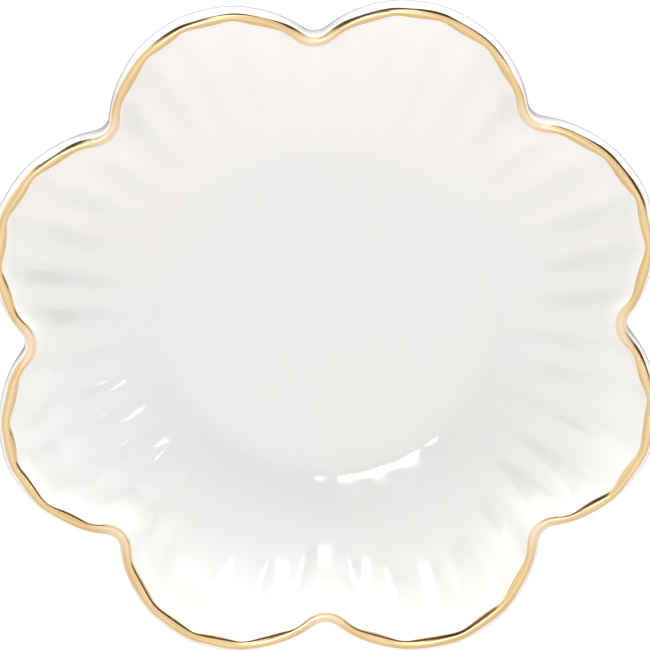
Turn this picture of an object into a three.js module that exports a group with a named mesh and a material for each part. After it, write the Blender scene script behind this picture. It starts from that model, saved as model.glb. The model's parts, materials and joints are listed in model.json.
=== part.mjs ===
// A flower-shaped porcelain relish dish: a fluted body with round petals, the foot ring that it
// stands on, and the gilding fired over its lip. Millimetres, +Z up. The origin is on the table,
// under the middle of the dish.

import * as THREE from "three";

// Driving dimensions

// Plan of the lip: round petals whose edges meet in rounded notches
const PETALS = 8;
const PETAL_CENTRE_RADIUS = 50.2; // from the middle of the dish to the centre of a petal's edge
const PETAL_EDGE_RADIUS = 28.2; // of a petal's outer edge
const NOTCH_ROUNDING = 4; // radius of the outer edge in the notch between two petals
const ROUND_RADIUS = 75; // of the round dish that the petals swell from
const INSIDE_PETAL_FADE = 2; // how fast the petals die away down the wall
const OUTSIDE_PETAL_FADE = 4;

// The petals were set by hand, so they sway off an even pitch: waves round the rim, in degrees
const PETAL_SWAYS = [
  { waves: 1, swing: 0.94, crest: 111 },
  { waves: 2, swing: 0.59, crest: -42 },
  { waves: 3, swing: 0.55, crest: -153 },
];

// Heights and thicknesses
const FOOT_HEIGHT = 2.5;
const FLOOR_THICKNESS = 3.2;
const WELL_DEPTH = 19.3; // from the top of a petal's lip down to the floor
const NOTCH_DROP = 1.2; // how much lower the lip runs in the notches
const LIP_THICKNESS = 2.6;
const LIP_RISE = 0.9; // of the lip's crown above the two faces that it joins
const LIP_HANDLE = 1.33; // how strongly its curve carries on along those faces

// Floor and foot
const WELL_RADIUS = 37.5; // of the crease where the floor turns up into the wall
const SHOULDER_WIDTH = 1; // how far the flat underside reaches past the crease
const FOOT_INSET = 1.5; // from the edge of the flat underside in to the foot
const FOOT_WIDTH = 3.6; // where it joins the underside
const FOOT_TAPER = 0.5; // lost from each side of the foot by its bottom
const FOOT_ROUNDING = 0.5;

// Flutes pressed into the inside of the wall
const FLUTES_PER_PETAL = 5;
const FLUTE_DEPTH = 0.6; // from a ridge to the bottom of a groove
const FLUTE_NOTCH_FADE = 8; // how late on their way to a notch the flutes die out
const FLUTE_START = 0.12; // shares of the wall's run, where the flutes start and where they are full
const FLUTE_FULL = 0.75;
const FLUTE_LIP_FADE = 0.5; // share of their depth that they lose from there to the lip

// Gilding
const GILT_THICKNESS = 0.15;
const GILT_INSIDE = 0.45; // how far it runs down inside from the lip
const GILT_END = 0.8; // where it ends on its way over the lip, past the crown

// Sections of the wall from the crease to the lip, as shares of its run and of its rise
const point = (run, rise) => new THREE.Vector2(run, rise);
const CREASE_SECTION = new THREE.QuadraticBezierCurve(point(-0.06, 0), point(0, 0), point(0.06, 0.03));
const INSIDE_SECTION = new THREE.CubicBezierCurve(
  point(0.06, 0.03), point(0.46, 0.23), point(0.87, 0.47), point(1, 1),
);
const OUTSIDE_SECTION = new THREE.CubicBezierCurve(
  point(0, 0), point(0.45, 0.2), point(1.12, 0.38), point(1, 1),
);

// Steps of the mesh
const STEPS_PER_FLUTE = 4;
const CREASE_STEPS = [0, 0.5];
const INSIDE_STEPS = [0, 0.16, 0.32, 0.46, 0.6, 0.72, 0.83, 0.92];
const OUTSIDE_STEPS = [0.9, 0.78, 0.64, 0.48, 0.3, 0.14, 0];
const GILT_LIP_STEPS = [0, 0.25, 0.5, 0.68];
const BARE_LIP_STEPS = [1];
const FOOT_STEPS = 72;
const FOOT_CORNER_STEPS = 2;
const TANGENT_STEP = 0.01; // back along a section, to see which way it heads

// Values that follow from these
const PITCH = (2 * Math.PI) / PETALS;
const STATIONS_PER_PETAL = FLUTES_PER_PETAL * STEPS_PER_FLUTE;
const FLOOR_LEVEL = FOOT_HEIGHT + FLOOR_THICKNESS;
const LIP_LEVEL = FLOOR_LEVEL + WELL_DEPTH - LIP_RISE; // where the lip starts to round over
const SHOULDER_RADIUS = WELL_RADIUS + SHOULDER_WIDTH;

// The lip's outer edge at an angle from a petal's own axis, and the way that it faces there
function petalEdge(angle) {
  const half = PITCH / 2;
  const reach = PETAL_EDGE_RADIUS + NOTCH_ROUNDING;
  const sideways = PETAL_CENTRE_RADIUS * Math.sin(half);
  const notchDistance = PETAL_CENTRE_RADIUS * Math.cos(half) + Math.sqrt(reach ** 2 - sideways ** 2);
  const petalCentre = point(PETAL_CENTRE_RADIUS, 0);
  const notchCentre = point(notchDistance * Math.cos(half), notchDistance * Math.sin(half));
  const meeting = petalCentre.clone().lerp(notchCentre, PETAL_EDGE_RADIUS / reach);

  const turn = Math.abs(angle);
  const ray = point(Math.cos(turn), Math.sin(turn));
  const inNotch = turn > meeting.angle();
  const centre = inNotch ? notchCentre : petalCentre;
  const along = ray.dot(centre);
  const across = ray.cross(centre);
  const radius = inNotch ? NOTCH_ROUNDING : PETAL_EDGE_RADIUS;
  const side = inNotch ? -1 : 1;
  const edge = ray.multiplyScalar(along + side * Math.sqrt(radius ** 2 - across ** 2));
  const facing = edge.clone().sub(centre).multiplyScalar(side / radius);
  if (angle < 0) {
    edge.y *= -1;
    facing.y *= -1;
  }
  return { edge, facing };
}

function sway(angle) {
  const toRadians = THREE.MathUtils.degToRad;
  const swings = PETAL_SWAYS.map(
    ({ waves, swing, crest }) => toRadians(swing) * Math.cos(waves * angle - toRadians(crest)),
  );
  return swings.reduce((total, swing) => total + swing, 0);
}

// Stations round the dish: the spoke that each lies on, the lip there and how the flutes stand
const middle = point(0, 0);
const tipRadius = petalEdge(0).edge.length();
const notchRadius = petalEdge(PITCH / 2).edge.length();
const stations = Array.from({ length: PETALS * STATIONS_PER_PETAL }, (_, index) => {
  const evenAngle = (index * PITCH) / STATIONS_PER_PETAL;
  const petalAxis = (Math.floor(index / STATIONS_PER_PETAL) + 0.5) * PITCH;
  const fromAxis = evenAngle - petalAxis;
  const drift = sway(evenAngle);
  const { edge, facing } = petalEdge(fromAxis);
  const towardsNotch = (tipRadius - edge.length()) / (tipRadius - notchRadius);
  return {
    spoke: point(1, 0).rotateAround(middle, evenAngle + drift),
    edge: edge.rotateAround(middle, petalAxis + drift),
    facing: facing.rotateAround(middle, petalAxis + drift),
    lipLevel: LIP_LEVEL - NOTCH_DROP * towardsNotch,
    flute: Math.cos(fromAxis * PETALS * FLUTES_PER_PETAL) * (1 - towardsNotch ** FLUTE_NOTCH_FADE),
  };
});

// The two faces of the wall: each climbs from a circle out to the lip
const inside = {
  base: WELL_RADIUS,
  bottom: FLOOR_LEVEL,
  inset: LIP_THICKNESS,
  petalFade: INSIDE_PETAL_FADE,
  fluteDepth: FLUTE_DEPTH,
};
const outside = {
  base: SHOULDER_RADIUS,
  bottom: FOOT_HEIGHT,
  inset: 0,
  petalFade: OUTSIDE_PETAL_FADE,
  fluteDepth: 0,
};

// A row of points round a face, at one place along its section
function wallRow(face, section, place) {
  const { x: run, y: rise } = section.getPoint(place);
  const heading = section.getTangent(place);
  const round = ROUND_RADIUS - face.inset;
  const { smoothstep } = THREE.MathUtils;
  const fluteLoss = FLUTE_LIP_FADE * smoothstep(run, FLUTE_FULL, 1);
  const fluteGrowth = smoothstep(run, FLUTE_START, FLUTE_FULL) * (1 - fluteLoss);
  return stations.map(({ spoke, edge, facing, lipLevel, flute }) => {
    const climb = lipLevel - face.bottom;
    const petal = edge.clone().addScaledVector(facing, -face.inset).addScaledVector(spoke, -round);
    const slope = point(heading.x * (round - face.base), heading.y * climb).normalize();
    const sink = 0.5 * face.fluteDepth * fluteGrowth * flute;
    const plan = spoke.clone().multiplyScalar(face.base + (round - face.base) * run);
    plan.addScaledVector(petal, Math.max(run, 0) ** face.petalFade);
    plan.addScaledVector(facing, sink * slope.y);
    return new THREE.Vector3(plan.x, plan.y, face.bottom + climb * rise - sink * slope.x);
  });
}

// The end of a face at the lip, and handles that carry on from there the way that the face climbs
function lipEdge(face, section) {
  const end = wallRow(face, section, 1);
  const below = wallRow(face, section, 1 - TANGENT_STEP);
  const handle = end.map((corner, index) => {
    const upwards = corner.clone().sub(below[index]).setLength(LIP_HANDLE);
    return upwards.add(corner);
  });
  return { end, handle };
}

const insideLip = lipEdge(inside, INSIDE_SECTION);
const outsideLip = lipEdge(outside, OUTSIDE_SECTION);

// A row over the lip, from its inner edge at 0 to its outer edge at 1, raised by a film's thickness
function lipRow(place, film = 0) {
  return stations.map((_, index) => {
    const [inner, outer] = [insideLip.end[index], outsideLip.end[index]];
    const arch = new THREE.CubicBezierCurve3(inner, insideLip.handle[index], outsideLip.handle[index], outer);
    const corner = arch.getPoint(place);
    const outwards = corner.clone().sub(inner.clone().lerp(outer, 0.5)).normalize();
    return corner.addScaledVector(outwards, film);
  });
}

// The gilding's two edges: down inside the lip, and past its crown
const climbAtLip = 3 * (INSIDE_SECTION.v3.y - INSIDE_SECTION.v2.y) * (LIP_LEVEL - inside.bottom);
const giltInsideEdge = wallRow(inside, INSIDE_SECTION, 1 - GILT_INSIDE / climbAtLip);
const giltOutsideEdge = lipRow(GILT_END);

// A closed skin over rows of points. Each gap between two rows is split along its shorter
// diagonals, so that two skins over the same rows have the same faces. Without caps, the last
// row joins the first.
function skin(rows, caps = null) {
  const corners = [];
  const count = rows[0].length;
  const face = (...three) => three.forEach((corner) => corners.push(corner.x, corner.y, corner.z));
  const strips = caps ? rows.length - 1 : rows.length;
  for (let index = 0; index < count; index += 1) {
    const next = (index + 1) % count;
    for (let strip = 0; strip < strips; strip += 1) {
      const row = rows[strip];
      const after = rows[(strip + 1) % rows.length];
      const [a, b, c, d] = [row[index], row[next], after[index], after[next]];
      if (a.distanceToSquared(d) < b.distanceToSquared(c)) {
        face(a, c, d);
        face(a, d, b);
      } else {
        face(a, c, b);
        face(b, c, d);
      }
    }
    if (caps) {
      const last = rows[rows.length - 1];
      face(caps[0], rows[0][index], rows[0][next]);
      face(caps[1], last[next], last[index]);
    }
  }
  const geometry = new THREE.BufferGeometry();
  geometry.setAttribute("position", new THREE.Float32BufferAttribute(corners, 3));
  geometry.computeVertexNormals();
  return geometry;
}

// The body: across the floor, up the fluted inside, over the lip and down the smooth outside
function porcelainBody() {
  const rows = [
    ...CREASE_STEPS.map((place) => wallRow(inside, CREASE_SECTION, place)),
    ...INSIDE_STEPS.map((place) => wallRow(inside, INSIDE_SECTION, place)),
    giltInsideEdge,
    ...GILT_LIP_STEPS.map((place) => lipRow(place)),
    giltOutsideEdge,
    ...BARE_LIP_STEPS.map((place) => lipRow(place)),
    ...OUTSIDE_STEPS.map((place) => wallRow(outside, OUTSIDE_SECTION, place)),
  ];
  return skin(rows, [new THREE.Vector3(0, 0, FLOOR_LEVEL), new THREE.Vector3(0, 0, FOOT_HEIGHT)]);
}

// The gilding: a film over the lip that thins out to nothing at both its edges
function giltBand() {
  const top = GILT_LIP_STEPS.map((place) => lipRow(place, GILT_THICKNESS));
  const bed = GILT_LIP_STEPS.map((place) => lipRow(place));
  return skin([giltInsideEdge, ...top, giltOutsideEdge, ...bed.reverse()]);
}

// The foot: a tapered ring with rounded bottom corners, luted to the flat underside
function footRing() {
  const outer = SHOULDER_RADIUS - FOOT_INSET;
  const inner = outer - FOOT_WIDTH;
  const profile = new THREE.Path();
  profile.moveTo(outer, FOOT_HEIGHT);
  profile.lineTo(inner, FOOT_HEIGHT);
  profile.lineTo(inner + FOOT_TAPER, FOOT_ROUNDING);
  profile.quadraticCurveTo(inner + FOOT_TAPER, 0, inner + FOOT_TAPER + FOOT_ROUNDING, 0);
  profile.lineTo(outer - FOOT_TAPER - FOOT_ROUNDING, 0);
  profile.quadraticCurveTo(outer - FOOT_TAPER, 0, outer - FOOT_TAPER, FOOT_ROUNDING);
  profile.lineTo(outer, FOOT_HEIGHT);
  return new THREE.LatheGeometry(profile.getPoints(FOOT_CORNER_STEPS), FOOT_STEPS).rotateX(Math.PI / 2);
}

function piece(name, geometry, finish) {
  const mesh = new THREE.Mesh(geometry, new THREE.MeshStandardMaterial(finish));
  mesh.name = name;
  return mesh;
}

const dish = new THREE.Group();
dish.add(
  piece("porcelain_body", porcelainBody(), { color: 0xf3f1ed, roughness: 0.1, metalness: 0 }),
  piece("foot_ring", footRing(), { color: 0xe4ded2, roughness: 0.8, metalness: 0 }),
  piece("gilt_band", giltBand(), { color: 0xd8a54a, roughness: 0.18, metalness: 1 }),
);

export default dish;
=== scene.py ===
# %% [markdown]
# # A flower-shaped relish dish
# The real dish is one pressing of white porcelain, glazed all over, with a foot ring that it stood
# on in the kiln and a line of gold brushed over its lip. This lesson builds those three pieces as
# fine meshes over their plain solids, gives each a finish made of shader nodes, and lights them.
# The solids come first, because they say how big everything is and where it sits.

# %% Load the solids
import json
import math

import bpy
import numpy as np
from mathutils import Euler, Matrix, Vector


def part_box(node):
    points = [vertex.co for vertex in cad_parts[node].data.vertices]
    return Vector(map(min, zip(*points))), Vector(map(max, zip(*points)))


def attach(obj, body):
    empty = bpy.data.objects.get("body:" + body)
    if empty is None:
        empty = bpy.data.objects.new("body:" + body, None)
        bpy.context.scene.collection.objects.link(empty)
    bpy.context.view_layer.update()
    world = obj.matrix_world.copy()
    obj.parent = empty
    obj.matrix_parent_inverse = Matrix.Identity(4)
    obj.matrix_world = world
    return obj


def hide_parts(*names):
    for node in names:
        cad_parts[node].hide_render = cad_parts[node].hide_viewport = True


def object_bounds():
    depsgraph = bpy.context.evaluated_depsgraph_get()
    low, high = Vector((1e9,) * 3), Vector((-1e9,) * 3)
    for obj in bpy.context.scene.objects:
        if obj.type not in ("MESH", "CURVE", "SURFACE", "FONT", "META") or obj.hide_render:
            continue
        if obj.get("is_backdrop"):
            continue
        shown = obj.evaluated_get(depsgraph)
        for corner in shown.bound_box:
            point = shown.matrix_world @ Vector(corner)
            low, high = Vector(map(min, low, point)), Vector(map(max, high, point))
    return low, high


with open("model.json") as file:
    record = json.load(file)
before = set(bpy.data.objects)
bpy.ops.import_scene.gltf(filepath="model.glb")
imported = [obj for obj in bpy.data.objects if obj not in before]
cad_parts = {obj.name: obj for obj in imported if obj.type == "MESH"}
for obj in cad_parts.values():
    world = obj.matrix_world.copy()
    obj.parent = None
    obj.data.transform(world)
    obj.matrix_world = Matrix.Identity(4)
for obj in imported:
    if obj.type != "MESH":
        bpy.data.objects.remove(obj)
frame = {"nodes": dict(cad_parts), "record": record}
cad_low, cad_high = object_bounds()
print("solids", sorted(frame["nodes"]), "box", [round(side, 5) for side in cad_high - cad_low])

# %% [markdown]
# ## The sizes that shape the dish
# A potter would take the heights off the solids with a gauge, and so does this cell: the foot, the
# lip and the floor are read from the frame. The petals and the wall's section can't be read off a
# box, so they are written here once, in millimetres, as the same values that drew the solids.

# %% Heights from the frame, the rest in millimetres
MM = 0.001
_, FOOT_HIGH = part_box("foot_ring")
_, BODY_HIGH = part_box("porcelain_body")
MOUNTS = {mount["name"]: mount for mount in frame["record"]["mounts"]}

LIP_THICKNESS = 2.6
LIP_RISE = 0.9  # from the top of the wall's two faces to the crown of the lip
LIP_HANDLE = 1.33  # how far each face carries on upwards into the curve of the lip
NOTCH_DROP = 1.2
FOOT_HEIGHT = FOOT_HIGH.z / MM
FOOT_OUTER = FOOT_HIGH.x / MM
FLOOR_LEVEL = MOUNTS["well_floor"]["pos_m"][2] / MM
LIP_LEVEL = BODY_HIGH.z / MM - LIP_RISE

PETALS = 8
PETAL_CENTRE_RADIUS = 50.2
PETAL_EDGE_RADIUS = 28.2
NOTCH_ROUNDING = 4.0
ROUND_RADIUS = 75.0
WELL_RADIUS = 37.5
SHOULDER_RADIUS = 38.5
PITCH = 2 * math.pi / PETALS
print(f"floor at {FLOOR_LEVEL:.2f} mm, lip rounds over at {LIP_LEVEL:.2f} mm")
print(f"foot {FOOT_HEIGHT:.2f} mm high, {FOOT_OUTER:.2f} mm out")

# %% [markdown]
# ## The petals in plan
# Seen from above, the lip is a ring of round arcs that meet in small rounded notches. It could be
# traced point by point, but two circles and a ray say it exactly: for any angle, the ray from the
# middle meets either a petal's circle or the small circle in the notch. Points in plan are complex
# numbers here, because turning a point is then one multiplication.

# %% The lip's outer edge at any angle from a petal's axis
def petal_edge(from_axis):
    """The edge's points, and the way that it faces at each of them."""
    half = PITCH / 2
    reach = PETAL_EDGE_RADIUS + NOTCH_ROUNDING
    sideways = PETAL_CENTRE_RADIUS * math.sin(half)
    notch_distance = PETAL_CENTRE_RADIUS * math.cos(half) + math.sqrt(reach**2 - sideways**2)
    notch_centre = notch_distance * np.exp(1j * half)
    meeting = PETAL_CENTRE_RADIUS + (notch_centre - PETAL_CENTRE_RADIUS) * PETAL_EDGE_RADIUS / reach

    turn = np.abs(from_axis)
    in_notch = turn > np.angle(meeting)
    centre = np.where(in_notch, notch_centre, PETAL_CENTRE_RADIUS)
    radius = np.where(in_notch, NOTCH_ROUNDING, PETAL_EDGE_RADIUS)
    side = np.where(in_notch, -1, 1)
    seen = centre * np.exp(-1j * turn)
    edge = np.exp(1j * turn) * (seen.real + side * np.sqrt(radius**2 - seen.imag**2))
    facing = (edge - centre) * side / radius
    mirrored = from_axis < 0
    return np.where(mirrored, edge.conj(), edge), np.where(mirrored, facing.conj(), facing)


TIP_RADIUS, NOTCH_RADIUS = np.abs(petal_edge(np.array([0.0, PITCH / 2]))[0])
print(f"petal tips at {TIP_RADIUS:.2f} mm, notches at {NOTCH_RADIUS:.2f} mm")

# %% [markdown]
# ## Stations round the rim
# Every row of the mesh has one point at each station round the rim. The petals of the real dish
# were set by hand, so they sway off an even pitch by a degree or so. Random numbers could do that,
# but three slow waves follow the photo's own sway and come out the same on every run.

# %% Where each station lies
STATIONS_PER_PETAL = 80
SWAYS = [(1, 0.94, 111), (2, 0.59, -42), (3, 0.55, -153)]  # waves per turn, swing and crest in degrees

index = np.arange(PETALS * STATIONS_PER_PETAL)
rim_angle = index * PITCH / STATIONS_PER_PETAL
petal_axis = (index // STATIONS_PER_PETAL + 0.5) * PITCH
from_axis = rim_angle - petal_axis
drift = sum(
    math.radians(swing) * np.cos(count * rim_angle - math.radians(crest)) for count, swing, crest in SWAYS
)
edge, facing = petal_edge(from_axis)
towards_notch = (TIP_RADIUS - np.abs(edge)) / (TIP_RADIUS - NOTCH_RADIUS)
spoke = np.exp(1j * (rim_angle + drift))
edge = edge * np.exp(1j * (petal_axis + drift))
facing = facing * np.exp(1j * (petal_axis + drift))
print(f"{len(index)} stations, swayed by {np.degrees(np.abs(drift)).mean():.1f} degrees on average")

# %% [markdown]
# ## The flutes
# Fine flutes run down the inside of the wall, five to a petal, and die out in the notches. They vary
# a little in depth and in place, which is what keeps the light on the wall from looking machine-cut.
# Each could be carved by itself, but one cosine round the rim draws them all, and a few sine waves
# of unlike pitch unsettle it. The lip's height wavers in the same way.

# %% How the flute stands at each station
FLUTES_PER_PETAL = 5
FLUTE_NARROWING = 0.1
NOTCH_FADE = 8
# Waves are given as swing, waves per turn and start.
FLUTE_SHIFTS = [(0.3, 9, 0.7), (0.2, 14, 2.1)]
FLUTE_DEPTHS = [(0.4, 2, 1.57), (0.16, 7, 0.3), (0.1, 17, 1.9)]
LIP_WAVER = [(0.07, 3, 1.0), (0.05, 11, 0.2)]


def waves(parts):
    """A sum of sine waves round the rim."""
    return sum(swing * np.sin(count * rim_angle + start) for swing, count, start in parts)


phase = from_axis * PETALS * FLUTES_PER_PETAL + waves(FLUTE_SHIFTS) * (1 - towards_notch)
groove = np.cos(phase) + FLUTE_NARROWING * (np.cos(2 * phase) - 1)
flute = groove * (1 + waves(FLUTE_DEPTHS)) * (1 - towards_notch**NOTCH_FADE)
lip_level = LIP_LEVEL - NOTCH_DROP * towards_notch + waves(LIP_WAVER)
print(f"flutes {flute.min():.2f} to {flute.max():.2f} of their half depth")

# %% [markdown]
# ## The wall's two faces
# The inside of the wall leaves the floor at a soft crease, runs out almost flat and then sweeps up
# to the lip. The outside does the same from the edge of the flat underside. One Bezier curve each
# is enough, drawn as shares of the run outwards and of the rise. A face starts as a circle at its
# base and takes on the petals as it climbs. The flutes are pressed into the inside and show only
# faintly outside. Where they begin, they leave a slight ripple in the crease, which makes the light
# on it jagged.

# %% The sections as curves
CREASE = [(-0.06, 0), (0, 0), (0.06, 0.03)]
INSIDE = [(0.06, 0.03), (0.46, 0.23), (0.87, 0.47), (1, 1)]
OUTSIDE = [(0, 0), (0.45, 0.2), (1.12, 0.38), (1, 1)]


def section_at(corners, place):
    """A Bezier curve's point and heading, found by going part of the way between its corners."""
    points = np.array(corners, dtype=float)[:, :, None]
    while len(points) > 2:
        points = points[:-1] + (points[1:] - points[:-1]) * place
    heading = points[1] - points[0]
    return points[0] + heading * place, heading


for name, corners in (("inside", INSIDE), ("outside", OUTSIDE)):
    (run, rise), _ = section_at(corners, 0.5)
    print(f"half-way along its curve, the {name} has {run[0]:.2f} of its run and {rise[0]:.2f} of its rise")

# %% A row of points round one face of the wall
INNER_FACE = {
    "base": WELL_RADIUS,
    "bottom": FLOOR_LEVEL,
    "inset": LIP_THICKNESS,  # in from the lip's outer edge
    "fade": 2,  # the power of the run by which the petals come in
    "flutes": 0.6,
    "ripple": 0.1,
}
OUTER_FACE = {
    "base": SHOULDER_RADIUS,
    "bottom": FOOT_HEIGHT,
    "inset": 0,
    "fade": 4,
    "flutes": 0.15,
    "ripple": 0,
}
FLUTE_START, FLUTE_FULL = 0.12, 0.75
FLUTE_LIP_FADE = 0.35
CREASE_REACH = 0.1


def smooth_step(value, low, high):
    """0 up to one value, 1 from another on, and a soft S between them."""
    share = np.clip((value - low) / (high - low), 0, 1)
    return share * share * (3 - 2 * share)


def wall_row(face, corners, place):
    """A point for every station, in millimetres, at one place along a face's section."""
    (run, rise), heading = section_at(corners, place)
    reach = ROUND_RADIUS - face["inset"] - face["base"]
    climb = lip_level - face["bottom"]
    petal = edge - facing * face["inset"] - spoke * (ROUND_RADIUS - face["inset"])
    along, up = heading[0] * reach, heading[1] * climb
    slope = np.hypot(along, up)
    growth = smooth_step(run, FLUTE_START, FLUTE_FULL)
    growth = growth * (1 - FLUTE_LIP_FADE * smooth_step(run, FLUTE_FULL, 1))
    sink = 0.5 * face["flutes"] * growth * flute
    ripple = face["ripple"] * groove * np.exp(-((run / CREASE_REACH) ** 2))
    plan = spoke * (face["base"] + ripple + reach * run) + petal * np.maximum(run, 0) ** face["fade"]
    plan = plan + facing * sink * up / slope
    level = face["bottom"] + climb * rise - sink * along / slope
    return np.stack([plan.real, plan.imag, level], axis=1)


print(f"inside of the lip {np.abs(wall_row(INNER_FACE, INSIDE, 1.0)[:, :2]).max():.2f} mm out at most")

# %% [markdown]
# ## The rounded lip
# A wet sponge rounds a real lip by hand, so the top of this one leans in here and out there, and the
# lights on it wander. A half circle swept round the rim couldn't lean, so each station has a Bezier
# curve of its own. It carries on in the direction of both faces, and no kink is left where they meet.

# %% A curve over the lip at every station
LIP_STEPS = 16
LIP_LEAN = 0.4
LIP_LEAN_BY_FLUTE = 0.25
LIP_LEAN_WAVES = [(0.2, 5, 0.4), (0.2, 9, 2.6), (0.14, 16, 1.0)]
LIP_LEAN_LEAST, LIP_LEAN_MOST = -0.4, 0.9
JUST_BELOW_LIP = 0.99

lip_lean = LIP_LEAN + waves(LIP_LEAN_WAVES) + LIP_LEAN_BY_FLUTE * groove
lip_lean = np.clip(lip_lean, LIP_LEAN_LEAST, LIP_LEAN_MOST)


def lip_edge(face, corners, handle):
    """The end of a face at the lip, and the point that a handle of some length carries on to from it."""
    end = wall_row(face, corners, 1.0)
    upwards = end - wall_row(face, corners, JUST_BELOW_LIP)
    return end, end + upwards * (handle / np.linalg.norm(upwards, axis=1))[:, None]


inside_lip, inside_handle = lip_edge(INNER_FACE, INSIDE, LIP_HANDLE * (1 + lip_lean))
outside_lip, outside_handle = lip_edge(OUTER_FACE, OUTSIDE, LIP_HANDLE * (1 - lip_lean))


def lip_rows(last=1.0):
    """Rows over the round lip, from its inner edge at 0 as far as a last place; 1 is its outer edge."""
    rows = []
    for share in np.linspace(0, 1, LIP_STEPS + 1):
        place = share * last * np.ones((len(index), 1))
        near = inside_lip * (1 - place) ** 3 + inside_handle * 3 * place * (1 - place) ** 2
        rows.append(near + outside_handle * 3 * place**2 * (1 - place) + outside_lip * place**3)
    return rows


print(f"lip leans by {lip_lean.min():.2f} to {lip_lean.max():.2f} of its handle")

# %% [markdown]
# ## The porcelain body
# The body is one skin: across the floor, up the inside, over the rounded lip, down the outside and
# back in under the dish. A subdivided block could be pulled into this shape, but rows of points keep
# every flute where it belongs.

# %% Rows from the middle of the floor to the middle of the underside
CREASE_STEPS, INSIDE_STEPS, OUTSIDE_STEPS = 8, 36, 30
CLOSER_AT_LIP = 1.15
FLOOR_SHARES = np.linspace(0.06, 0.94, 12)
UNDER_SHARES = np.linspace(0.97, 0.05, 10)


def drawn_in(row, share):
    """The same row nearer to the middle, at the same height."""
    return row * np.array([share, share, 1.0])


crease_places = np.linspace(0, 1, CREASE_STEPS + 1)[:-1]
inside_places = 1 - (1 - np.linspace(0, 1, INSIDE_STEPS + 1)[:-1]) ** CLOSER_AT_LIP
outside_places = np.linspace(1, 0, OUTSIDE_STEPS + 1)[1:]
crease_row = wall_row(INNER_FACE, CREASE, 0.0)
shoulder_row = wall_row(OUTER_FACE, OUTSIDE, 0.0)

floor_rows = [drawn_in(crease_row, share) for share in FLOOR_SHARES]
crease_rows = [wall_row(INNER_FACE, CREASE, place) for place in crease_places]
inside_rows = [wall_row(INNER_FACE, INSIDE, place) for place in inside_places]
outside_rows = [wall_row(OUTER_FACE, OUTSIDE, place) for place in outside_places]
under_rows = [drawn_in(shoulder_row, share) for share in UNDER_SHARES]
body_rows = floor_rows + crease_rows + inside_rows + lip_rows() + outside_rows + under_rows
print(f"{len(body_rows)} rows of {len(index)} points")


# %% Skin the rows
def new_thing(name, points, faces):
    """A mesh object in the scene."""
    mesh = bpy.data.meshes.new(name)
    mesh.from_pydata(points, [], faces)
    thing = bpy.data.objects.new(name, mesh)
    bpy.context.scene.collection.objects.link(thing)
    return thing


def skin(name, rows, caps=None):
    """A closed mesh over rows of points; without caps, the last row joins the first."""
    count = len(rows[0])
    points = np.concatenate(rows)
    here = np.arange(count)
    after = (here + 1) % count
    starts = np.arange(len(rows) - (1 if caps else 0)) * count
    quads = [
        np.stack([low + here, low + after, high + after, high + here], axis=1)
        for low, high in ((start, (start + count) % len(points)) for start in starts)
    ]
    faces = np.concatenate(quads)[:, ::-1].tolist()
    if caps:
        first, last = len(points), len(points) + 1
        points = np.concatenate([points, np.array(caps)])
        top = (len(rows) - 1) * count
        faces += [(first, low, high) for low, high in zip(here.tolist(), after.tolist())]
        faces += [(last, top + high, top + low) for low, high in zip(here.tolist(), after.tolist())]
    thing = new_thing(name, (points * MM).tolist(), faces)
    thing.data.shade_smooth()
    return thing


body = skin("porcelain_dish", body_rows, caps=[(0, 0, FLOOR_LEVEL), (0, 0, FOOT_HEIGHT)])
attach(body, "root")
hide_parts("porcelain_body")
print(f"{body.name}: {len(body.data.polygons)} faces")

# %% [markdown]
# ## Where the glaze gathers, and painted shade in the hollows
# Melted glaze runs into the grooves and the crease and lies thick there. Those hollows are painted a
# little darker and greyer, partly for the thicker glaze and partly as painted shade where less light
# reaches. It could be painted on by hand, but the shape itself says where that is. So each point of
# the body keeps a value for the finish to read, a mark of pooled glaze and painted shade.

# %% Mark the pools of glaze and the painted shade in the hollows
# How much of the greyer tint the crease and the grooves take: thicker glaze, and painted shade
POOL_AND_SHADE_IN_CREASE, POOL_AND_SHADE_IN_GROOVES = 0.3, 0.4
POOL_AND_SHADE_RUN, POOL_AND_SHADE_REACH = 0.02, 0.08


def mark(thing, name, rows):
    """A value for every point, kept on the mesh for its material to read."""
    values = np.zeros(len(thing.data.vertices), dtype=np.float32)
    flattened = np.concatenate(rows)
    values[: len(flattened)] = flattened
    thing.data.attributes.new(name, "FLOAT", "POINT").data.foreach_set("value", values)


# The grooves take the greyer tint: deeper glaze there, and painted shade
in_groove = np.clip(0.5 + 0.5 * flute, 0, 1) ** 2
pool_and_shade_rows = [np.zeros(len(index)) for _ in floor_rows]
for corners, places in ((CREASE, crease_places), (INSIDE, inside_places)):
    for place in places:
        (run, _), _ = section_at(corners, place)
        in_crease = np.exp(-(((run - POOL_AND_SHADE_RUN) / POOL_AND_SHADE_REACH) ** 2))
        in_flute = in_groove * smooth_step(run, FLUTE_START, FLUTE_FULL)
        pool_and_shade_rows.append(np.clip(POOL_AND_SHADE_IN_CREASE * in_crease + POOL_AND_SHADE_IN_GROOVES * in_flute, 0, 1))
mark(body, "pool_and_shade", pool_and_shade_rows)
print(f"pool up to {max(map(np.max, pool_and_shade_rows)):.2f}")

# %% [markdown]
# ## The foot ring
# The dish stands on a low ring. Its sides are glazed and softly hollow where they meet the
# underside, and its bottom was wiped bare before firing so that it wouldn't stick to the kiln
# shelf. A lathe is how the real one is trimmed, so its section is drawn once and turned round.

# %% Turn the foot's section
FOOT_WIDTH = 3.6
FOOT_TAPER = 0.5
FOOT_ROUNDING = 0.55
FOOT_HOLLOW = 0.45
FOOT_SINK = 0.02  # into the underside, so that no gap shows
FOOT_STATIONS = 256
HOLLOW_POINTS, ROUNDING_POINTS = 7, 9


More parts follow.
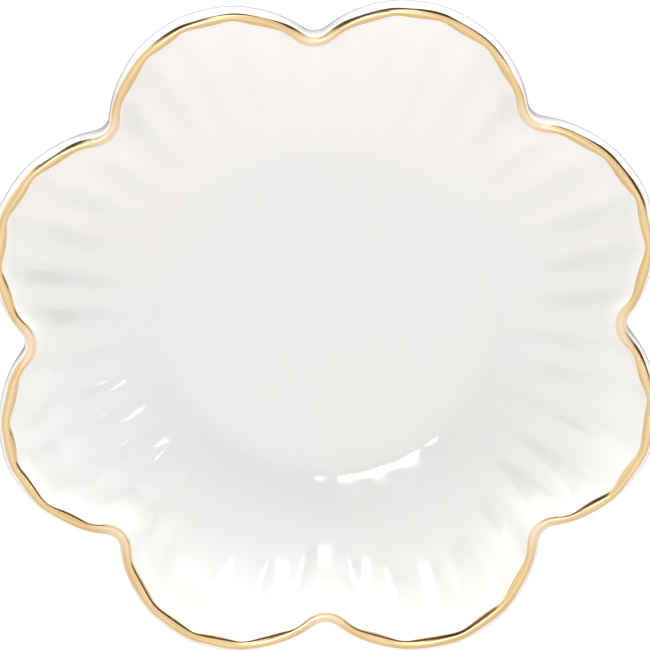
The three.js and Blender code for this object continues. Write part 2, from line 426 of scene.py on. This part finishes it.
def foot_side(out, away):
    """One side of the section, from the underside down to the flat bottom."""
    points = []
    for turn in np.linspace(0, math.pi / 2, HOLLOW_POINTS):
        hollow, drop = FOOT_HOLLOW * (1 - math.sin(turn)), FOOT_HOLLOW * (1 - math.cos(turn))
        points.append((out + away * hollow, FOOT_HEIGHT + FOOT_SINK - drop))
    points.append((out - away * FOOT_TAPER / 2, FOOT_HEIGHT / 2))
    middle = out - away * (FOOT_TAPER + FOOT_ROUNDING)
    for turn in np.linspace(0, math.pi / 2, ROUNDING_POINTS):
        level = FOOT_ROUNDING * (1 - math.sin(turn))
        points.append((middle + away * FOOT_ROUNDING * math.cos(turn), level))
    return points


section = foot_side(FOOT_OUTER - FOOT_HOLLOW, 1)
section += foot_side(FOOT_OUTER - FOOT_WIDTH + FOOT_HOLLOW, -1)[::-1]
foot_angle = np.linspace(0, 2 * math.pi, FOOT_STATIONS, endpoint=False)
foot_circle = np.stack([np.cos(foot_angle), np.sin(foot_angle), np.ones(FOOT_STATIONS)], axis=1)
foot = skin("foot", [foot_circle * np.array([radius, radius, level]) for radius, level in section])
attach(foot, "root")
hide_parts("foot_ring")
print(f"{foot.name}: {len(foot.data.polygons)} faces, section of {len(section)} points")

# %% [markdown]
# ## The gilding
# Gold is brushed over the lip after the glaze firing and fired again at a lower heat. The brush
# rides on the lip, so the line wanders a little. It could be painted on the body by a mask, but it
# is a coat of its own, so it is a thin closed shell over the lip. The shell's rim is marked sharp,
# because smooth shading would carry its steep side into the gold as a dark line.

# %% The stretch of the lip that the brush covers
GILT_INSIDE = 0.45  # down the inside of the wall
GILT_BY_FLUTE = 0.12
GILT_END = 0.8  # the place on the curve over the lip
GILT_WALL_STEPS = 7
BRUSH_IN_WAVES = [(0.07, 13, 1.1), (0.05, 29, 0.4), (0.04, 53, 2.0)]
BRUSH_OUT_WAVES = [(0.04, 11, 2.2), (0.03, 31, 1.4), (0.02, 47, 0.3)]

brush_in = GILT_INSIDE - GILT_BY_FLUTE * groove + waves(BRUSH_IN_WAVES)
brush_out = GILT_END + waves(BRUSH_OUT_WAVES)
# A cubic Bezier curve ends at three times the speed of its last leg.
climb_at_lip = 3 * (INSIDE[3][1] - INSIDE[2][1]) * (LIP_LEVEL - FLOOR_LEVEL)
gilt_path = [
    wall_row(INNER_FACE, INSIDE, 1 - brush_in * share / climb_at_lip)
    for share in np.linspace(1, 0, GILT_WALL_STEPS + 1)[:-1]
]
gilt_path = np.array(gilt_path + lip_rows(brush_out[:, None]))
steps = np.linalg.norm(np.diff(gilt_path, axis=0), axis=2)
from_inside = np.cumsum(np.concatenate([np.zeros((1, len(index))), steps]), axis=0)
from_outside = from_inside[-1] - from_inside
print(f"gold {from_inside[-1].mean():.2f} mm wide over the lip, {len(gilt_path)} rows")

# %% A thin shell over that stretch
GILT_THICKNESS = 0.05
GILT_EDGE_THICKNESS = 0.012
GILT_BEDDING = 0.02
GILT_TAPER = 0.7
SHARP_FROM = math.radians(50)

across = np.gradient(gilt_path, axis=0)
around = np.roll(gilt_path, -1, axis=1) - np.roll(gilt_path, 1, axis=1)
outward = np.cross(around, across)
outward /= np.linalg.norm(outward, axis=2, keepdims=True)
coat = smooth_step(np.minimum(from_inside, from_outside), 0, GILT_TAPER)
thickness = GILT_EDGE_THICKNESS + (GILT_THICKNESS - GILT_EDGE_THICKNESS) * coat
gilt_top = gilt_path + outward * thickness[:, :, None]
gilt_bed = gilt_path - outward * GILT_BEDDING
gilt = skin("gilding", list(gilt_top) + list(gilt_bed[::-1]))
gilt.data.set_sharp_from_angle(angle=SHARP_FROM)
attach(gilt, "root")
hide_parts("gilt_band")
print(f"{gilt.name}: {len(gilt.data.polygons)} faces")

# %% [markdown]
# ## Where the brush left little
# The gold lies thin along its inner border and in the notches, where it turns peach and lets the
# white through. A picture of a brush stroke could say so, but the distance from the stroke's edges
# does it too. It is kept on the mesh as a value called cover, which is 1 where the gold is whole.

# %% Mark how well the gold covers
BORDER_WIDTH = 0.55
BORDER_BY_FLUTE = 0.14
BORDER_WAVES = [(0.05, 1, 0.0), (0.1, 7, 0.9), (0.07, 19, 2.0)]
INNER_BLUR, OUTER_BLUR = 0.7, 0.2
NOTCH_THINNING = 0.5

border = BORDER_WIDTH + BORDER_BY_FLUTE * groove + waves(BORDER_WAVES)
cover = smooth_step(from_inside, border, border + INNER_BLUR) * smooth_step(from_outside, 0.0, OUTER_BLUR)
cover = cover * (1 - NOTCH_THINNING * towards_notch**3)
mark(gilt, "cover", list(cover) + list(cover[::-1]))
print(f"cover up to {cover.max():.2f}, {cover.mean():.2f} on average")

# %% [markdown]
# ## Effects that the finishes share
# Fired clay is never quite one colour, and no fired surface is quite flat. Both effects turn up in
# more than one finish here, so each is a node group: a small tree with named inputs that is built
# once and then placed in every material with its own values. Noise read in object coordinates keeps
# the marks at their real size, with no unwrapping.

# %% Helpers that add nodes and fill their sockets
MIX_SOCKETS = {"FLOAT": (0, 2, 3, 0), "RGBA": (0, 6, 7, 2)}  # share, first, second and result


def feed(tree, socket, value):
    """Links a socket, or sets it to a plain value."""
    if isinstance(value, bpy.types.NodeSocket):
        tree.links.new(value, socket)
    else:
        socket.default_value = value


def fill(tree, node, **sockets):
    """Feeds a node's sockets by their names, with _ for each space."""
    for name, value in sockets.items():
        feed(tree, node.inputs[name.replace("_", " ")], value)


def add(tree, kind, **sockets):
    """A new node with its sockets fed."""
    node = tree.nodes.new(kind)
    fill(tree, node, **sockets)
    return node


def maths(tree, operation, *values):
    """One step of arithmetic on values or links."""
    node = tree.nodes.new("ShaderNodeMath")
    node.operation = operation
    for socket, value in zip(node.inputs, values):
        feed(tree, socket, value)
    return node.outputs[0]


def blend(tree, share, first, second, kind="RGBA"):
    """A colour between two others, or a number where the kind is FLOAT."""
    node = tree.nodes.new("ShaderNodeMix")
    node.data_type = kind
    *places, result = MIX_SOCKETS[kind]
    for place, value in zip(places, (share, first, second)):
        feed(tree, node.inputs[place], value)
    return node.outputs[result]


def stretch(tree, value, low, high, new_low, new_high):
    """Carries a value from one range to another and stops at its ends."""
    ranges = {"From_Min": low, "From_Max": high, "To_Min": new_low, "To_Max": new_high}
    return add(tree, "ShaderNodeMapRange", Value=value, **ranges).outputs["Result"]


print("helpers feed, fill, add, maths, blend and stretch")


# %% Helpers that build a group and use it
def new_group(name, inputs, output, output_kind):
    """An empty group, with what it is given and the socket that its result leaves by."""
    group = bpy.data.node_groups.new(name, "ShaderNodeTree")
    for label, kind in inputs:
        group.interface.new_socket(label, in_out="INPUT", socket_type=kind)
    group.interface.new_socket(output, in_out="OUTPUT", socket_type=output_kind)
    entry = group.nodes.new("NodeGroupInput")
    leave = group.nodes.new("NodeGroupOutput")
    return group, entry.outputs, leave.inputs[output]


def use_group(tree, group, **sockets):
    """Places a group in a tree and gives back its result."""
    node = tree.nodes.new("ShaderNodeGroup")
    node.node_tree = group
    fill(tree, node, **sockets)
    return node.outputs[0]


print("helpers new_group and use_group")

# %% Kiln tone: a colour that drifts towards another in soft patches
NUMBER, COLOUR = "NodeSocketFloat", "NodeSocketColor"
PATCH_FROM, PATCH_FULL = 0.35, 0.7

tone_inputs = [("Colour", COLOUR), ("Drift", COLOUR), ("Scale", NUMBER), ("Share", NUMBER)]
kiln_tone, given, leaves = new_group("Kiln tone", tone_inputs, "Colour", COLOUR)
spot = add(kiln_tone, "ShaderNodeTexCoord").outputs["Object"]
cloud = add(kiln_tone, "ShaderNodeTexNoise", Vector=spot, Scale=given["Scale"], Detail=3.0, Roughness=0.55)
patch = stretch(kiln_tone, cloud.outputs["Fac"], PATCH_FROM, PATCH_FULL, 0.0, 1.0)
share = maths(kiln_tone, "MULTIPLY", patch, given["Share"])
feed(kiln_tone, leaves, blend(kiln_tone, share, given["Colour"], given["Drift"]))
print(f"{kiln_tone.name}: {len(kiln_tone.nodes)} nodes")

# %% Fired skin: a broad ripple with a finer one in it
skin_inputs = [("Broad scale", NUMBER), ("Fine scale", NUMBER), ("Fine share", NUMBER)]
fired_skin, given, leaves = new_group("Fired skin", skin_inputs, "Height", NUMBER)
spot = add(fired_skin, "ShaderNodeTexCoord").outputs["Object"]
broad = add(fired_skin, "ShaderNodeTexNoise", Vector=spot, Scale=given["Broad scale"], Detail=1.0)
fine = add(
    fired_skin, "ShaderNodeTexNoise", Vector=spot, Scale=given["Fine scale"], Detail=4.0, Roughness=0.6
)
heights = broad.outputs["Fac"], fine.outputs["Fac"]
feed(fired_skin, leaves, blend(fired_skin, given["Fine share"], *heights, kind="FLOAT"))
print(f"{fired_skin.name}: {len(fired_skin.nodes)} nodes")

# %% [markdown]
# ## Glazed porcelain
# Porcelain is a cool white clay under a clear, hard, glassy glaze. A coat layer could stand for the
# glaze, but glaze and clay are fused, so one Principled BSDF with a low roughness does it. Its colour
# drifts very slightly, goes a touch greyer in the grooves and the crease, partly for thicker glaze and
# partly as painted shade, and its skin has the faint long ripple of a dipped glaze, which breaks up
# the edges of reflections.

# %% The glazed porcelain
PORCELAIN = (0.882, 0.878, 0.864, 1)
PORCELAIN_WARM = (0.872, 0.86, 0.836, 1)
GLAZE_TONE = {"Colour": PORCELAIN, "Drift": PORCELAIN_WARM, "Scale": 22.0, "Share": 0.5}
# A greyer tint for the hollows: thicker glaze there, and painted shade
THICK_GLAZE_AND_SHADE = (0.77, 0.79, 0.77, 1)
THICK_GLAZE_AND_SHADE_SHARE = 0.2
GLAZE_SMOOTH, GLAZE_ROUGH = 0.05, 0.09
SKIN_LOW, SKIN_HIGH = 0.3, 0.7  # most of the fired skin's heights lie between these
GLAZE_IOR = 1.6


def new_finish(name):
    """A new material, with its tree and its shader."""
    finish = bpy.data.materials.new(name)
    finish.use_nodes = True
    tree = finish.node_tree
    return finish, tree, tree.nodes["Principled BSDF"]


def read_mark(tree, name):
    """A value that is kept on the mesh."""
    node = tree.nodes.new("ShaderNodeAttribute")
    node.attribute_name = name
    return node.outputs["Fac"]


def dress(thing, finish):
    """Makes a finish the only one that a thing wears."""
    thing.data.materials.clear()
    thing.data.materials.append(finish)
    print(f"{thing.name} wears {finish.name}: {len(finish.node_tree.nodes)} nodes")


porcelain, tree, shader = new_finish("glazed_porcelain")
tone = use_group(tree, kiln_tone, **GLAZE_TONE)
# The grooves and the crease turn greyer: pooled glaze, and painted shade
thick = stretch(tree, read_mark(tree, "pool_and_shade"), 0.0, 1.0, 0.0, THICK_GLAZE_AND_SHADE_SHARE)
ripple = use_group(tree, fired_skin, Broad_scale=95.0, Fine_scale=900.0, Fine_share=0.05)
gloss = stretch(tree, ripple, SKIN_LOW, SKIN_HIGH, GLAZE_SMOOTH, GLAZE_ROUGH)
bump = add(tree, "ShaderNodeBump", Strength=0.25, Distance=0.4 * MM, Height=ripple).outputs["Normal"]
fill(tree, shader, Base_Color=blend(tree, thick, tone, THICK_GLAZE_AND_SHADE), Roughness=gloss, Normal=bump)
fill(tree, shader, IOR=GLAZE_IOR)
dress(body, porcelain)

# %% [markdown]
# ## The foot's finish
# The same clay without its glaze is called biscuit: warmer, quite matt and as fine as eggshell. The
# line where the glaze was wiped off runs round the foot a little above its bottom. Two materials
# could share the ring, but one that goes from glaze to biscuit by height keeps that line soft.

# %% Biscuit below the wiped line, glaze above it
BISCUIT = (0.76, 0.72, 0.65, 1)
BISCUIT_TOASTED = (0.66, 0.57, 0.46, 1)
BISCUIT_ROUGH, FOOT_GLAZE_ROUGH = 0.85, 0.07
WIPED_LINE = 0.9 * MM
WIPED_BLUR = 0.15 * MM

foot_finish, tree, shader = new_finish("biscuit_porcelain")
on_foot = add(tree, "ShaderNodeTexCoord").outputs["Object"]
height = add(tree, "ShaderNodeSeparateXYZ", Vector=on_foot).outputs["Z"]
glazed = stretch(tree, height, WIPED_LINE - WIPED_BLUR, WIPED_LINE + WIPED_BLUR, 0.0, 1.0)
clay = use_group(tree, kiln_tone, Colour=BISCUIT, Drift=BISCUIT_TOASTED, Scale=60.0, Share=0.6)
glaze = use_group(tree, kiln_tone, **GLAZE_TONE)
gloss = stretch(tree, glazed, 0.0, 1.0, BISCUIT_ROUGH, FOOT_GLAZE_ROUGH)
grain = use_group(tree, fired_skin, Broad_scale=300.0, Fine_scale=4000.0, Fine_share=0.7)
bump = add(tree, "ShaderNodeBump", Strength=0.3, Distance=0.1 * MM, Height=grain).outputs["Normal"]
fill(tree, shader, Base_Color=blend(tree, glazed, clay, glaze), Roughness=gloss, Normal=bump)
dress(foot, foot_finish)

# %% [markdown]
# ## Fired gold
# Bright gold is a metal film a few thousandths of a millimetre thick, so it is as glossy as the
# glaze under it. Where the brush left little, it fires to a dull peach and then to a pink stain. The
# value called cover says where that is, and noise roughens the border as the hairs of a brush do.
# Two materials side by side would meet in a hard line, so one goes from stain to metal.

# %% The fired gold
GOLD = (0.77, 0.57, 0.31, 1)
GOLD_DEEP = (0.67, 0.46, 0.2, 1)
PEACH = (0.88, 0.72, 0.55, 1)
STAIN = (0.93, 0.86, 0.8, 1)
HAIRS = 0.22
STAIN_COVER, PEACH_COVER, GOLD_COVER = 0.14, 0.46, 0.91
PEACH_ROUGH, GOLD_ROUGH = 0.35, 0.18

gold, tree, shader = new_finish("fired_gold")
brushed = use_group(tree, fired_skin, Broad_scale=420.0, Fine_scale=1800.0, Fine_share=0.4)
ragged = maths(tree, "MULTIPLY_ADD", brushed, HAIRS, read_mark(tree, "cover"))
stained = stretch(tree, ragged, STAIN_COVER, PEACH_COVER, 0.0, 1.0)
laid = stretch(tree, ragged, PEACH_COVER, GOLD_COVER, 0.0, 1.0)
thin = blend(tree, stained, STAIN, PEACH)
metal = use_group(tree, kiln_tone, Colour=GOLD, Drift=GOLD_DEEP, Scale=70.0, Share=0.6)
gloss = stretch(tree, laid, 0.0, 1.0, PEACH_ROUGH, GOLD_ROUGH)
bump = add(tree, "ShaderNodeBump", Strength=0.2, Distance=0.08 * MM, Height=brushed).outputs["Normal"]
fill(tree, shader, Base_Color=blend(tree, laid, thin, metal), Metallic=laid, Roughness=gloss, Normal=bump)
dress(gilt, gold)

# %% [markdown]
# ## The floor
# The dish stands on a plain white sweep. A white floor lit like the dish would come out pale grey,
# so rays that come straight from the camera, or by way of a shiny or clear surface, find a little
# light of its own added to it. Under the overhanging wall the real floor lies in shade, so mirrored
# rays find it dark there and without that light. Its border follows the petals by a wave, and it
# draws the thin grey line round the far side of the dish. The light that falls on the dish stays at
# its plain level, and the shadow under it is still there.

# %% A matt sheet, and how far each place on it lies from the petals' edge
FLOOR_HALF = 4.0
SHADE_RADIUS = (TIP_RADIUS + NOTCH_RADIUS) / 2 * MM
SHADE_SWING = (TIP_RADIUS - NOTCH_RADIUS) / 2 * MM
MATT = {"Roughness": 1.0, "Specular_IOR_Level": 0.0}
WHITE = (1, 1, 1, 1)

sides = [(-1, -1), (1, -1), (1, 1), (-1, 1)]
floor = new_thing("floor", [(x * FLOOR_HALF, y * FLOOR_HALF, 0) for x, y in sides], [(0, 1, 2, 3)])
floor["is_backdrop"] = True
paper, tree, shader = new_finish("white_sweep")
fill(tree, shader, **MATT, Emission_Color=WHITE)
where = add(tree, "ShaderNodeTexCoord").outputs["Object"]
from_middle = tree.nodes.new("ShaderNodeVectorMath")
from_middle.operation = "LENGTH"
feed(tree, from_middle.inputs[0], where)
on_floor = add(tree, "ShaderNodeSeparateXYZ", Vector=where).outputs
petal_turn = maths(tree, "MULTIPLY", maths(tree, "ARCTAN2", on_floor["Y"], on_floor["X"]), float(PETALS))
petal_wave = maths(tree, "MULTIPLY", maths(tree, "COSINE", petal_turn), SHADE_SWING)
evened_out = maths(tree, "ADD", from_middle.outputs["Value"], petal_wave)
past_edge = maths(tree, "SUBTRACT", evened_out, SHADE_RADIUS)
print(f"floor {2 * FLOOR_HALF:.0f} m across, petals' edge at {SHADE_RADIUS:.4f} m on average")

# %% White where it is seen, dark where the wall mirrors its shade
FLOOR_GREY = (0.45, 0.45, 0.45, 1)
FLOOR_SHADE = (0.1, 0.1, 0.11, 1)
FLOOR_LIFT = 0.7
SHADE_INNER, SHADE_OUTER = 6 * MM, 15 * MM

rays = tree.nodes.new("ShaderNodeLightPath").outputs
in_the_open = stretch(tree, past_edge, SHADE_INNER, SHADE_OUTER, 0.0, 1.0)
by_mirror = maths(tree, "MAXIMUM", rays["Is Glossy Ray"], rays["Is Transmission Ray"])
shown = maths(tree, "MAXIMUM", rays["Is Camera Ray"], maths(tree, "MULTIPLY", by_mirror, in_the_open))
in_shade = maths(tree, "MULTIPLY", by_mirror, maths(tree, "SUBTRACT", 1.0, in_the_open))
fill(tree, shader, Emission_Strength=maths(tree, "MULTIPLY", shown, FLOOR_LIFT))
fill(tree, shader, Base_Color=blend(tree, in_shade, FLOOR_GREY, FLOOR_SHADE))
dress(floor, paper)

# %% [markdown]
# ## The sky
# A pale room lights the dish from all round, a little more from overhead and most from the front.
# A picture of a room could be wrapped round the scene, but a few ramps over the direction of a ray
# do it too and can be read. The light that falls and the light that is mirrored are set apart, as
# with lamps that stand out of sight of the glaze: the glaze mirrors an even room with a brighter
# patch overhead and a glow low behind the dish. The camera itself sees plain white.

# %% The light that falls on the dish
SKY_EVEN, SKY_TOP, SKY_FRONT, SKY_SIDE = 0.575, 0.24, 1.0, 0.06
SKY_PINK = (1.0, 0.94, 0.935, 1)
PINK_FULL, PINK_NONE = -0.95, -0.3

world = bpy.data.worlds.new("sky")
world.use_nodes = True
bpy.context.scene.world = world
tree = world.node_tree
sky = tree.nodes["Background"]
ray = add(tree, "ShaderNodeTexCoord").outputs["Generated"]
towards = add(tree, "ShaderNodeSeparateXYZ", Vector=ray).outputs
front = stretch(tree, towards["Y"], -1.0, 0.0, SKY_FRONT, 0.0)
side = stretch(tree, towards["X"], -1.0, 0.0, SKY_SIDE, 0.0)
top = stretch(tree, towards["Z"], 0.0, 1.0, SKY_EVEN, SKY_EVEN + SKY_TOP)
falls = maths(tree, "ADD", maths(tree, "ADD", front, side), top)
tint = stretch(tree, towards["Y"], PINK_FULL, PINK_NONE, 1.0, 0.0)
fill(tree, sky, Color=blend(tree, tint, WHITE, SKY_PINK))
print(f"sky light {SKY_EVEN} all round, {SKY_TOP} more overhead")
print(f"{SKY_FRONT} more in front and {SKY_SIDE} at the left")

# %% What the glaze mirrors, and what the camera sees
MIRRORED_EVEN, MIRRORED_GLOW, MIRRORED_OVERHEAD = 1.0, 0.5, 0.25
# The two brighter parts fade over these ranges of how high a ray points, and how far backwards.
GLOW_HEIGHTS, GLOW_BACKWARDS = (0.2, 0.9), (0.15, 0.55)
OVERHEAD_HEIGHTS, OVERHEAD_BACKWARDS = (0.6, 0.97), (-0.15, 0.0)
SEEN_WHITE = 1.0

glow = stretch(tree, towards["Z"], *GLOW_HEIGHTS, MIRRORED_GLOW, 0.0)
glow = maths(tree, "MULTIPLY", glow, stretch(tree, towards["Y"], *GLOW_BACKWARDS, 0.0, 1.0))
overhead = stretch(tree, towards["Y"], *OVERHEAD_BACKWARDS, MIRRORED_OVERHEAD, 0.0)
overhead = maths(tree, "MULTIPLY", overhead, stretch(tree, towards["Z"], *OVERHEAD_HEIGHTS, 0.0, 1.0))
shines = maths(tree, "ADD", maths(tree, "ADD", overhead, glow), MIRRORED_EVEN)
rays = tree.nodes.new("ShaderNodeLightPath").outputs
strength = blend(tree, rays["Is Glossy Ray"], falls, shines, kind="FLOAT")
strength = blend(tree, rays["Is Camera Ray"], strength, SEEN_WHITE, kind="FLOAT")
fill(tree, sky, Strength=strength)
print(f"{world.name}: {len(tree.nodes)} nodes")

# %% [markdown]
# ## Lamps
# Glaze shows its lamps as plain shapes, so they are chosen by what is to be seen in the dish: a tall
# window behind it that draws white streaks down the fluted wall, a bright box high up that catches
# the crease, and a small one at the side for a few dots. The raking lamps stand low behind the dish.
# They light the wall across from them, over the lip in between, and are left out of its mirror. One
# big lamp would be simpler, but each of these could be moved until its own mark lay where it should.

# %% Softboxes
DISH_MIDDLE = Vector((0, 0, LIP_LEVEL * MM))
WATTS_PER_RADIANCE = 4  # for each square metre of an area lamp
HIGH_BOX = {"from_zenith": 9.2, "distance": 0.9, "roll": -34}
RAKING = {"from_zenith": 83.5, "distance": 1.5, "height": 0.14, "mirrored": False}


def direction(azimuth, from_zenith):
    """Azimuth in degrees from +X towards +Y, and degrees down from straight overhead."""
    turn, tilt = math.radians(azimuth), math.radians(from_zenith)
    return Vector((math.sin(tilt) * math.cos(turn), math.sin(tilt) * math.sin(turn), math.cos(tilt)))


def softbox(name, azimuth, from_zenith, distance, width, height, radiance, roll=0, mirrored=True):
    """A lamp aimed at the dish, to be seen in its mirror or else to shed light on it."""
    lamp_data = bpy.data.lights.new(name, "AREA")
    lamp_data.shape = "RECTANGLE"
    lamp_data.size, lamp_data.size_y = width, height
    lamp_data.energy = WATTS_PER_RADIANCE * width * height * radiance
    lamp = bpy.data.objects.new(name, lamp_data)
    away = direction(azimuth, from_zenith)
    across = direction(azimuth + 90, 90)
    lamp.location = DISH_MIDDLE + away * distance
    aimed = Matrix((across, away.cross(across), away)).transposed()
    lamp.rotation_euler = (aimed @ Matrix.Rotation(math.radians(roll), 3, "Z")).to_euler()
    lamp.visible_camera = False
    lamp.visible_glossy, lamp.visible_diffuse = mirrored, not mirrored
    bpy.context.scene.collection.objects.link(lamp)
    print(f"{name}: {lamp_data.energy:.1f} W")


softbox("window", azimuth=91, from_zenith=40, distance=1.15, width=0.26, height=0.36, radiance=1.9)
softbox("crease_light", azimuth=135, **HIGH_BOX, width=0.18, height=0.15, radiance=7.0)
softbox("side_light", azimuth=6, from_zenith=27.5, distance=0.9, width=0.05, height=0.05, radiance=6.0)
softbox("raking_light", azimuth=90, width=1.8, radiance=12.5, **RAKING)
softbox("raking_light_left", azimuth=128, width=0.8, radiance=7.5, **RAKING)
softbox("raking_light_right", azimuth=48, width=0.8, radiance=10.3, **RAKING)

# %% [markdown]
# ## Dark cards
# Bright metal shows what stands round it, and in a white room the gold would look flat. A black card
# beside a shiny thing, just out of the picture, gives it dark lines to be seen by. A darker patch of
# sky would do that too, but the edge of a card is sharp. Two curved cards stand here, one low behind
# the dish and a higher one at its left. They are seen in mirrors only, so they take no light from
# the porcelain.

# %% Two curved cards of black felt
FELT = (0.07, 0.05, 0.05, 1)
CARD_DISTANCE = 1.1
CARD_STEPS = 24


def card(name, azimuth, spread, low, high):
    """A curved dark card that stands round part of the dish, between two heights in degrees."""
    turns = np.radians(np.linspace(azimuth - spread, azimuth + spread, CARD_STEPS + 1))
    ring = np.stack([np.cos(turns), np.sin(turns)], axis=1) * CARD_DISTANCE
    levels = [CARD_DISTANCE * math.tan(math.radians(height)) for height in (low, high)]
    points = [(x, y, level) for level in levels for x, y in ring]
    above = len(ring)
    faces = [(step, step + 1, step + 1 + above, step + above) for step in range(CARD_STEPS)]
    thing = new_thing(name, points, faces)
    thing.visible_camera = thing.visible_diffuse = thing.visible_shadow = False
    thing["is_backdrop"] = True
    return thing


felt, tree, shader = new_finish("black_felt")
fill(tree, shader, **MATT, Base_Color=FELT)
dress(card("dark_card", azimuth=70, spread=68, low=0, high=36), felt)
dress(card("tall_dark_card", azimuth=120, spread=18, low=36, high=58), felt)

# %% [markdown]
# ## The camera
# The photo was taken with a long lens from almost straight above. The camera leans a little to the
# side that is up in the picture, so a strip of the wall's outside shows there. It could be placed by
# eye, but its tilt, its turn and the width that it takes in can each be found from the rim, and the
# rest follows. The turn is really the dish's own, which stays in its frame here.

# %% Aim the camera
CAMERA_DISTANCE = 4.0
CAMERA_TILT = math.radians(12.7)
CAMERA_TURN = math.radians(-1.44)
FRAME_WIDTH = 147.3 * MM
AIM_RIGHT, AIM_UP = -0.2 * MM, 1.45 * MM
SENSOR_WIDTH = 36

camera_data = bpy.data.cameras.new("camera")
camera = bpy.data.objects.new("camera", camera_data)
bpy.context.scene.collection.objects.link(camera)
camera_data.sensor_width = SENSOR_WIDTH
camera_data.lens = SENSOR_WIDTH * CAMERA_DISTANCE / FRAME_WIDTH
camera.rotation_euler = (-CAMERA_TILT, 0, CAMERA_TURN)
aim = Vector((AIM_RIGHT, AIM_UP, LIP_LEVEL * MM))
aim.rotate(Euler((0, 0, CAMERA_TURN)))
camera.location = aim + camera.rotation_euler.to_matrix() @ Vector((0, 0, CAMERA_DISTANCE))
bpy.context.scene.camera = camera
print(f"lens {camera_data.lens:.0f} mm, camera at {[round(value, 3) for value in camera.location]}")

# %% [markdown]
# ## Finish
# The dressed dish should be the size of its solids, so both boxes are printed side by side.
# The plain view transform keeps the colours as they were chosen.

# %% Print the two boxes
bpy.context.scene.view_settings.view_transform = "Standard"
low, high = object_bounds()
for label, box in (("solids", cad_high - cad_low), ("dressed", high - low)):
    print(label, [round(side, 5) for side in box])
